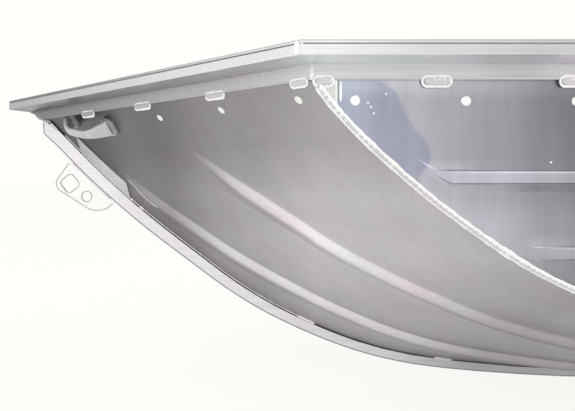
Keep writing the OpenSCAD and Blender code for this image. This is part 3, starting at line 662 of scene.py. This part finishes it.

# Painted light and shade of a side rib and beside it: a lighter face, dark lines
# along its edges and a highlight just above it near its start, and a shadow under
# it, by height over half its width, and how each part of it runs aft from where
# the chine passes the rib
RIB_LIGHT = [(-1.06, 0), (-0.97, 1), (0.97, 1), (1.06, 0)]
RIB_LINES = [(-1.25, 0), (-1.05, 1), (-0.9, 0), (0.9, 0), (1.05, 1), (1.25, 0)]
RIB_GLOW = [(1.0, 0), (1.15, 1), (2.6, 0)]
RIB_UNDER = [(-2.1, 0), (-1.9, 1), (-1.12, 1), (-1.0, 0)]
RIB_PAINTED_LIGHT = ((RIB_LIGHT, [(0.0, 0.0), (0.015, 0.13), (0.045, 0.26), (0.075, 0.32),
                         (0.10, 0.46), (0.14, 0.60), (0.19, 0.72), (0.5, 0.6),
                         (4, 0.5)]),
            (RIB_LINES, [(0.0, 0.0), (0.012, -0.16), (0.04, -0.14), (0.065, 0.0),
                         (4, 0.0)]),
            (RIB_GLOW, [(0.0, 0.0), (0.015, 0.24), (0.05, 0.20), (0.075, 0.0), (4, 0.0)]),
            (RIB_UNDER, [(0.0, 0.0), (0.10, 0.0), (0.14, -0.20), (0.20, -0.14),
                         (4, -0.12)]))
RIB_START = [next(a for a in SIDE_STATIONS if edge(a)[1] < rib - RIB_W / 2)
             for rib in SIDE_RIBS]
# Columns up the side: their number below the ribs and above each, the places
# below and above a rib over its width, and the share of the height in which
# those below the chine are gathered; then the run over which a rib rises
LOW_COLS, GAP_COLS = 14, 7
RIB_BELOW, RIB_ABOVE = (1.06, 0.97, 0.60, 0.53), (0.53, 0.60, 0.9, 1.3)
GATHERED, RIB_GROWTH = 0.25, 2.5


def rib_painted_light(k, a, z):
    """How much lighter or darker the side is painted at a point near rib k, as painted
    light and shade.
    """
    t = (z - SIDE_RIBS[k]) / (RIB_W / 2)
    return sum(stops(across, t) * stops(along, a - RIB_START[k])
               for across, along in RIB_PAINTED_LIGHT)


def side_marks(lo):
    """Heights up the side from lo, each with its rise and the rib it belongs to."""
    marks = [(mix(lo, SIDE_RIBS[0] - RIB_W, i / LOW_COLS), 0, 0) for i in range(LOW_COLS)]
    for k, rib in enumerate(SIDE_RIBS):
        marks += [(rib - share * RIB_W, 0, k) for share in RIB_BELOW]
        marks += [(rib + t * RIB_W, rise, k) for t, rise in RIB_RISE]
        marks += [(rib + share * RIB_W, 0, k) for share in RIB_ABOVE]
        top = SIDE_RIBS[1] - RIB_BELOW[0] * RIB_W if k == 0 else SHEET_TOP
        marks += [(mix(rib + RIB_ABOVE[-1] * RIB_W, top, i / GAP_COLS), 0, k)
                  for i in range(1, GAP_COLS + k)]
    return marks


outer, inner, painted_light = [], [], []
for a in SIDE_STATIONS:
    lo = edge(a)[1]
    marks = side_marks(lo)
    row_out, row_in = [], []
    for j, (z, rise, k) in enumerate(marks):
        z = max(z, mix(lo, SHEET_TOP, GATHERED * j / (len(marks) - 1)))
        grow = ease((SIDE_RIBS[k] - RIB_W / 2 - lo) / (RIB_GROWTH * RIB_W))
        p = Vector((FORE - a, side_y(a, z) + rise * RIB_H * grow, z))
        q = p + SHEET * side_in(a)
        if j == 0:
            q = chine_in(a)
        elif j == len(marks) - 1:
            q = p - Vector((0, SHEET, 0))
        row_out.append(run_out(p, a))
        row_in.append(run_out(q, a))
        painted_light.append(rib_painted_light(k, a, z))
    outer.append(row_out)
    inner.append(row_in)
both_sides("hull_side", *skin(outer, inner), "side_sheet", node="side",
           painted_light=painted_light + [0.0] * len(painted_light))

# Weld along the chine: a pale etched strip, the bead on it, and a painted
# highlight on the edge of the bottom sheet beside it
chine_run = [a for a in STATIONS if KNUCKLE_A + 0.002 < a < LAST_A]


def chine_path(shift):
    """Line along the chine, or shifted from it onto the bottom."""
    pts, ups = [], []
    for a in chine_run:
        low, high = -inward(a, NEAR_EDGE), -side_in(a)
        along = (bottom(a + 0.001, 1) - bottom(a, 1)).normalized()
        down = along.cross(low) * (1 if along.cross(low).z < 0 else -1)
        pts.append(bottom(a, 1) + down.normalized() * shift)
        ups.append(low if shift else (low + high).normalized())
    end = pts[-1].copy()
    end.x = transom_x(end.z) - 0.002
    return pts + [end], ups + [ups[-1]]


path, ups = chine_path(0)
both_sides("chine_etch", *fine_line(path, ups, 0.0125, 0.0020, 1.0, 0.012, uneven=2.2),
           "halo", "side_sheet")
both_sides("chine_weld", *bead(path, ups, 0.0058, 0.0036, 0.0085, 2.0, 1.6, uneven=1.5),
           "weld", "side_sheet")
both_sides("chine_gap", *fine_line(*chine_path(0.0064), 0.0018, 0.0009, 3.0), "edge",
           "bottom_sheet")
both_sides("chine_edge_highlight", *fine_line(*chine_path(0.0088), 0.0026, 0.0012, 3.0, uneven=2.0),
           "halo", "bottom_sheet")

# Corner between the keel bar and the bottom: short welds, a fine bright edge
# ahead of the first and an open gap between the others
FIRST_WELD, WELD_STEP, WELD_L, WELDS = 0.6465, 0.296, 0.040, 12
TACKS, TACK_L, GAP_END = (0.262, 0.286), 0.010, 4.08


def corner_path(a0, a1, n):
    """Line in the corner between the bar and the bottom, in n steps."""
    path, ups = [], []
    for i in range(n + 1):
        a = mix(a0, a1, i / n)
        w = min((KEEL_T / 2 + 0.001) / edge(a)[0], 0.9)
        path.append(bottom(a, w))
        ups.append((OUT - inward(a, w)).normalized())
    return path, ups


stitches = [bead(*corner_path(FIRST_WELD + WELD_STEP * k - WELD_L / 2,
                              FIRST_WELD + WELD_STEP * k + WELD_L / 2, 8),
                 0.0075, 0.0032, 0.005, 4.0 + k, uneven=1.6) for k in range(WELDS)]
tacks = [bead(*corner_path(a, a + TACK_L, 4), 0.006, 0.003, 0.005, a) for a in TACKS]
both_sides("keel_weld", *joined(stitches + tacks), "halo", "keel_bar")
both_sides("keel_gap", *fine_line(*corner_path(FIRST_WELD, GAP_END, 300), 0.0032, 0.0012,
                                  5.0), "seam", "keel_bar")
both_sides("stem_edge", *fine_line(*corner_path(STEM_A + 0.06, FIRST_WELD, 90), 0.0026,
                                   0.0014, 6.0, uneven=2.0), "halo", "keel_bar")


def bar_pt(a, in_by=0.0):
    """Point on the lower edge of the keel bar, or a little inside it."""
    d = Vector((-0.002, 0, keel_z(a + 0.001) - keel_z(a - 0.001))).normalized()
    thin_by = KNUCKLE_A + 0.97 * BOW
    depth = mix(STEM_H, KEEL_H, clamp01((a - STEM_A) / (thin_by - STEM_A)))
    out = Vector((-d.z, 0, d.x))
    return Vector((FORE - a, 0, keel_z(a))) + out * (depth - in_by), out


# Painted dark reflection along the bar's lower edge: the nose of the stem as
# distances in from the bar's end and down, then the run aft
EDGE_IN_BY, EDGE_END, EDGE_STEPS = 0.0016, 4.2, 240
NOSE_X, NOSE = FORE - STEM_A - 0.012, ((0.0016, 0.0200), (0.0034, 0.0475))
BAR_SIDE = OUT * (KEEL_T / 2)
line = [Vector((NOSE_X - back, 0, STEM_Z - down)) + BAR_SIDE for back, down in NOSE]
line += [bar_pt(mix(STEM_A + 0.055, EDGE_END, (i / EDGE_STEPS)**1.4), EDGE_IN_BY)[0]
         + BAR_SIDE for i in range(EDGE_STEPS + 1)]
both_sides("keel_edge_reflection", *fine_line(line, [BAR_SIDE] * len(line), 0.0030, 0.0005, 7.0),
           "edge", "keel_bar")

# Lines of painted shade round the eye plate and its two openings, and the weld
# at its root, in the plate's own axes: away from the bar and up along it
EYE_A, EYE_T, EYE_R, TOE_R = STEM_A + 0.134, 0.008, 0.020, 0.0445
EYE_HOLE, EYE_SLOT = (0.032, -0.017), (0.037, 0.029)
EYE_TOE, EYE_TOP, EYE_START = (0.007, -0.025), (-0.008, 0.073), (0.004, 0.0605)
HOLE_R, SLOT_HALF, SLOT_R, SLOT_TURN = 0.010, 0.0075, 0.008, math.radians(8)
EDGE_IN = 0.0014
eye_at, eye_out = bar_pt(EYE_A)
eye_up = Vector((-eye_out.z, 0, eye_out.x))


def on_eye(u, v):
    """Point on the port face of the eye plate, in its own axes."""
    return eye_at + eye_out * u + eye_up * v + OUT * (EYE_T / 2)


def arc(c, r, t0, t1, n):
    """Arc round c from turn t0 to turn t1, in n steps."""
    turns = [mix(t0, t1, i / n) for i in range(n + 1)]
    return [(c[0] + r * math.cos(t), c[1] + r * math.sin(t)) for t in turns]


heel = (EYE_SLOT[0] + 0.007, EYE_SLOT[1] + 0.008)
to_top = (EYE_TOP[0] - heel[0], EYE_TOP[1] - heel[1])
from_toe = (heel[0] - EYE_TOE[0], heel[1] - EYE_TOE[1])
upper = math.atan2(to_top[1], to_top[0]) - math.acos(EYE_R / math.hypot(*to_top))
lower = (math.atan2(from_toe[1], from_toe[0])
         - math.acos((TOE_R - EYE_R) / math.hypot(*from_toe)))
toe = -math.acos((EYE_TOP[0] - EYE_TOE[0]) / TOE_R)
rim = ([EYE_START] + arc(heel, EYE_R - EDGE_IN, upper, lower, 16)
       + arc(EYE_TOE, TOE_R - EDGE_IN, lower, toe + 0.25, 24))
hole = arc(EYE_HOLE, HOLE_R + EDGE_IN, 0, 2 * math.pi, 32)
ring = []
for k, (cx, cy) in enumerate(((1, 1), (-1, 1), (-1, -1), (1, -1))):
    ring += arc((cx * SLOT_HALF, cy * SLOT_HALF), SLOT_R + EDGE_IN, k * math.pi / 2,
                (k + 1) * math.pi / 2, 8)
slot = [(EYE_SLOT[0] + x * math.cos(SLOT_TURN) - y * math.sin(SLOT_TURN),
         EYE_SLOT[1] + x * math.sin(SLOT_TURN) + y * math.cos(SLOT_TURN)) for x, y in ring]
lines = []
for k, ring in enumerate((rim, hole, slot + slot[:1])):
    pts = [on_eye(x, y) for x, y in ring]
    lines.append(fine_line(pts, [OUT] * len(pts), 0.0026, 0.0009, 8.0 + k, 0.010,
                           closed=k > 0))
both_sides("eye_edge_shade", *joined(lines), "soft_edge", "plate")
root = [on_eye(0.0012, mix(0.057, -0.062, i / 20)) - OUT * 0.001 for i in range(21)]
both_sides("eye_weld", *bead(root, [(OUT + eye_out).normalized()] * 21, 0.0050, 0.0028,
                             0.006, 11.0, uneven=1.6), "keel_bar", "plate")


def obround(centre, u, v, length, height):
    """Closed path of a slot shape round a centre."""
    r, n = height / 2, 40
    pts = []
    for k in range(n + 3):
        t = 2 * math.pi * k / n
        shift = (length / 2 - r) * (1 if math.cos(t) >= 0 else -1)
        pts.append(centre + u * (math.cos(t) * r + shift) + v * (math.sin(t) * r))
    return pts


def pad(centre, u, v, length, height, seed):
    """Short weld: an etched rim round a rippled core."""
    up = v.cross(u)
    if up.y < 0:
        up = -up
    rim = obround(centre, u, v, length - 0.0045, height - 0.0045)
    core = [centre + u * (length / 2 - 0.005) * (k / 4 - 1) for k in range(9)]
    return (bead(rim, [up] * len(rim), 0.0040, 0.0014, 0.009, seed, 0.3, True, 2.6),
            bead(core, [up] * 9, height - 0.0065, 0.0024, 0.0060, seed + 5, 1.5))


# Short welds along the lower edge of the gunwale's flange: one at the knuckle,
# then the even row aft of it, and those ahead of it as distance aft and length
PAD_Z, PROUD = DEPTH - GUN_DROP - 0.002, 0.0020
KNUCKLE_PAD, ROW_A, ROW_STEP, ROW_PADS = (0.651, 0.030), 0.7963, 0.1772, 19
BOW_PADS = ((0.2225, 0.052), (0.355, 0.054), (0.4935, 0.050), (0.617, 0.036))
LEAN_OUT, LEAN_UP = 0.17, 0.985
along = Vector((-BOW_COS, BOW_SIN, 0))
beam_out = Vector((BOW_SIN, BOW_COS, 0))
flange = Vector((FORE - (GUN_OVER + GUN_T) / BOW_SIN, 0, 0))
pads = []
for a0, length in [KNUCKLE_PAD] + [(ROW_A + ROW_STEP * k, 0.042) for k in range(ROW_PADS)]:
    pads.append(pad(Vector((FORE - a0, SHEET_Y + PROUD, PAD_Z)), Vector((1, 0, 0)),
                    Vector((0, LEAN_OUT, LEAN_UP)), length, 0.018, a0))
for a0, length in BOW_PADS:
    s = (a0 - GUN_OVER / BOW_SIN) / BOW_COS
    pads.append(pad(flange + along * s + beam_out * PROUD + Vector((0, 0, PAD_Z)), along,
                    Vector((0, 0, LEAN_UP)) + beam_out * LEAN_OUT, length, 0.015, a0))
both_sides("flange_etch", *joined([rim for rim, core in pads]), "halo",
           "gunwale_extrusion")
both_sides("flange_weld", *joined([core for rim, core in pads]), "weld",
           "gunwale_extrusion")

# Rings of a plug weld: share of its radius, height
PLUG_R, PLUG_SIDES = 0.0066, 24
PLUG_RINGS = ((1.0, -0.0002), (0.96, 0.0007), (0.80, 0.0013), (0.55, 0.0015),
              (0.36, 0.0010), (0.20, 0.0004))


def plug(centre, up, seed, radius=PLUG_R):
    """Plug weld: a low uneven dome with a dimple."""
    side = up.cross(Vector((0.1, 0.3, 1))).normalized()
    other = up.cross(side)
    verts, faces, n = [], [], PLUG_SIDES
    for share, lift in PLUG_RINGS:
        for k in range(n):
            t = 2 * math.pi * k / n
            r = radius * share * (1 + 0.08 * noise.noise(
                Vector((math.cos(t), math.sin(t), seed * 9))))
            off = radius * 0.12 * (1 - share)
            verts.append(centre + side * (r * math.cos(t) + off)
                         + other * (r * math.sin(t)) + up * lift)
    for i in range(len(PLUG_RINGS) - 1):
        for k in range(n):
            q = (k + 1) % n
            faces.append((i * n + k, i * n + q, (i + 1) * n + q, (i + 1) * n + k))
    faces.append(tuple((len(PLUG_RINGS) - 1) * n + k for k in range(n)))
    faces.append(tuple(range(n - 1, -1, -1)))
    return verts, faces


def share_at(a, z):
    """Share across the bottom at which it stands at height z."""
    w = 0.0
    for _ in range(8):
        w = (z - keel_z(a) + dip(a) * (w - w**DIP_POWER)) / (edge(a)[1] - keel_z(a))
    return w


def gunwale_line(inset, z):
    """Line along the gunwale from the bow point aft, inset from its face."""
    bend = Vector((FORE - BOW - inset * (1 - BOW_COS) / BOW_SIN, HALF - inset, z))
    start = Vector((FORE - inset / BOW_SIN, 0.002, z))
    end = Vector((0.004 - FORE, HALF - inset, z))
    bow = [start.lerp(bend, i / 40) for i in range(41)]
    return (bow + [bend.lerp(end, i / 120) for i in range(1, 121)],
            [beam_out] * 41 + [OUT] * 120)


# Painted shade: a dark line in the gunwale's groove; and a painted highlight
# along the lower edge of its flange, which starts aft of the stem
GROOVE_Z, GROOVE_IN, FLANGE_START = 0.5950, 0.0012, 8
both_sides("groove_shade", *fine_line(*gunwale_line(GROOVE_IN, GROOVE_Z), 0.0017,
                                        0.0007, 30.0, 0.030), "edge",
           "gunwale_extrusion")
line, ups = gunwale_line(GUN_OVER, DEPTH - GUN_DROP + 0.0012)
both_sides("flange_edge_highlight", *fine_line(line[FLANGE_START:], ups[FLANGE_START:], 0.0018,
                                     0.0008, 31.0, 0.030), "weld", "gunwale_extrusion")

# Weld at the head of the stem, under the bow point: distance aft and height
STEM_WELD = ((0.060, 0.5700), (0.070, 0.5640), (0.082, 0.5580), (0.092, 0.5530))
path = [Vector((FORE - a, 0.003, z)) for a, z in STEM_WELD]
both_sides("stem_weld", *bead(path, [Vector((0.25, 1, 0))] * len(path), 0.011, 0.0065,
                              0.006, 32.0, uneven=2.2), "weld", "keel_bar")


def upright(foot, z0, z1, n):
    """Upright line over a point, from height z0 to z1 in n steps."""
    return [foot + Vector((0, 0, mix(z0, z1, i / n))) for i in range(n + 1)]


# Mitre of the gunwale at the knuckle: the weld on its face and in the corner
# of the flange, and the small plate that laps the sheet behind it
face = Vector((FORE - BOW, HALF, 0)) - along * 0.0062
corner = Vector((FORE - BOW - GUN_OVER * (1 - BOW_COS) / BOW_SIN, HALF - GUN_OVER, 0))
both_sides("mitre_weld", *joined(
    [bead(upright(face, 0.5815, 0.5992, 10), [beam_out] * 11, 0.0090, 0.0010, 0.006, 20.0,
          0.8, uneven=2.0),
     bead(upright(corner, 0.556, 0.5745, 10), [beam_out] * 11, 0.0070, 0.0018, 0.006, 21.0,
          uneven=2.0)]), "halo", "gunwale_extrusion")
LAP_END, LAP_TOP, LAP_T, LAP_SINK, LAP_GAP = 0.6690, 0.5545, 0.0012, 0.0002, 0.006
LAP_EDGE, LAP_LOW, BEVEL_BACK = 0.6705, 0.527, 0.0027
outer, inner = [], []
for i in range(13):
    a = mix(KNUCKLE_A + LAP_GAP, LAP_END, i / 12)
    low = edge(a)[1] + LAP_GAP
    lift = LAP_T if i < 12 else LAP_SINK
    heights = [mix(low, LAP_TOP, j / 10) for j in range(11)]
    row = [Vector((FORE - a, side_y(a, z), z)) for z in heights]
    outer.append([p - side_in(a) * lift for p in row])
    inner.append([p + side_in(a) * LAP_SINK for p in row])
both_sides("knuckle_patch", *skin(outer, inner), "knuckle_patch", "side_sheet")
path = [Vector((FORE - LAP_EDGE, side_y(LAP_EDGE, z), z)) - side_in(LAP_EDGE) * LAP_SINK
        for z in [mix(LAP_LOW, LAP_TOP, i / 12) for i in range(13)]]
both_sides("patch_edge", *fine_line(path, [OUT] * 13, 0.0014, 0.0008, 22.0), "edge",
           "side_sheet")
both_sides("patch_bevel", *fine_line([p - Vector((BEVEL_BACK, 0, 0)) for p in path],
                                     [OUT] * 13, 0.0040, 0.0010, 23.0), "halo",
           "side_sheet")

# Plug welds below the flange, on the side and on the bow, and a few specks of
# spatter and small dings on the side as distance aft and height
SIDE_PLUG_Z, SIDE_PLUG_A, SIDE_PLUG_STEP, SIDE_PLUGS = 0.5285, 0.6919, 0.1437, 22
BOW_PLUG_Z, BOW_PLUGS = 0.5347, (0.3848, 0.5032, 0.6199)
SPECKS = ((0.7123, 0.5203), (0.7084, 0.5255), (0.7316, 0.5371), (0.949, 0.4495),
          (0.716, 0.512), (1.31, 0.47), (1.92, 0.36), (2.75, 0.49))
SPECK_R = 0.0016


def side_plug(a, z, radius=PLUG_R):
    return plug(Vector((FORE - a, side_y(a, z), z)), -side_in(a), a, radius)


plugs = [side_plug(SIDE_PLUG_A + SIDE_PLUG_STEP * k, SIDE_PLUG_Z)
         for k in range(SIDE_PLUGS)]
for a0 in BOW_PLUGS:
    w = share_at(a0, BOW_PLUG_Z)
    plugs.append(plug(bottom(a0, w), -inward(a0, w), a0))
plugs += [side_plug(a0, z, SPECK_R) for a0, z in SPECKS]
both_sides("plug_weld", *joined(plugs), "halo", "side_sheet")

# Floor, world and lamps. Looked at, directly or in the metal, floor and world
# are an even white; as light they are a little dimmer
WHITE = (1.0, 1.0, 0.97, 1)
FLOOR_SIZE, FLOOR_WHITE, SKY_LIGHT = 60, 0.90, 0.95


def looked_at(tree):
    """1 for a ray from the camera, by a reflection or through a clear piece."""
    rays = tree.nodes.new("ShaderNodeLightPath")
    bounced = math_node(tree, "MAXIMUM", rays.outputs["Is Glossy Ray"],
                        rays.outputs["Is Transmission Ray"])
    return math_node(tree, "MAXIMUM", rays.outputs["Is Camera Ray"], bounced)


floor_mesh = bpy.data.meshes.new("floor")
floor_mesh.from_pydata([(x * FLOOR_SIZE, y * FLOOR_SIZE, 0) for x, y in
                        ((-1, -1), (1, -1), (1, 1), (-1, 1))], [], [(0, 1, 2, 3)])
floor = bpy.data.objects.new("floor", floor_mesh)
bpy.context.collection.objects.link(floor)
floor_mat = bpy.data.materials.new("floor")
floor_mat.use_nodes = True
ft = floor_mat.node_tree
plain = ft.nodes["Principled BSDF"]
plain.inputs["Base Color"].default_value = (0.97, 0.97, 0.94, 1)
plain.inputs["Roughness"].default_value = 0.9
glow = ft.nodes.new("ShaderNodeEmission")
glow.inputs["Color"].default_value = WHITE
blend = ft.nodes.new("ShaderNodeMixShader")
ft.links.new(math_node(ft, "MULTIPLY", looked_at(ft), FLOOR_WHITE), blend.inputs["Fac"])
ft.links.new(plain.outputs["BSDF"], blend.inputs[1])
ft.links.new(glow.outputs["Emission"], blend.inputs[2])
ft.links.new(blend.outputs["Shader"], ft.nodes["Material Output"].inputs["Surface"])
floor_mesh.materials.append(floor_mat)

world = bpy.data.worlds.new("world")
bpy.context.scene.world = world
world.use_nodes = True
wt = world.node_tree
back = wt.nodes["Background"]
back.inputs["Color"].default_value = WHITE
level = wt.nodes.new("ShaderNodeMapRange")
level.inputs["To Min"].default_value = SKY_LIGHT
wt.links.new(looked_at(wt), level.inputs["Value"])
wt.links.new(level.outputs["Result"], back.inputs["Strength"])


def lamp(name, where, to, size, power):
    """Square lamp of a size in metres and a power in watts, aimed at a point."""
    data = bpy.data.lights.new(name, "AREA")
    data.size, data.energy = size, power
    obj = bpy.data.objects.new(name, data)
    obj.location = where
    obj.rotation_euler = (Vector(to) - Vector(where)).to_track_quat("-Z", "Y").to_euler()
    bpy.context.collection.objects.link(obj)


lamp("key", (3.5, 3.5, 3.2), (0.8, 0, 0.3), 2.5, 60)
lamp("fill", (-1.5, 4.0, 2.0), (0.5, 0, 0.3), 2.5, 18)
bpy.context.scene.view_settings.view_transform = "Standard"
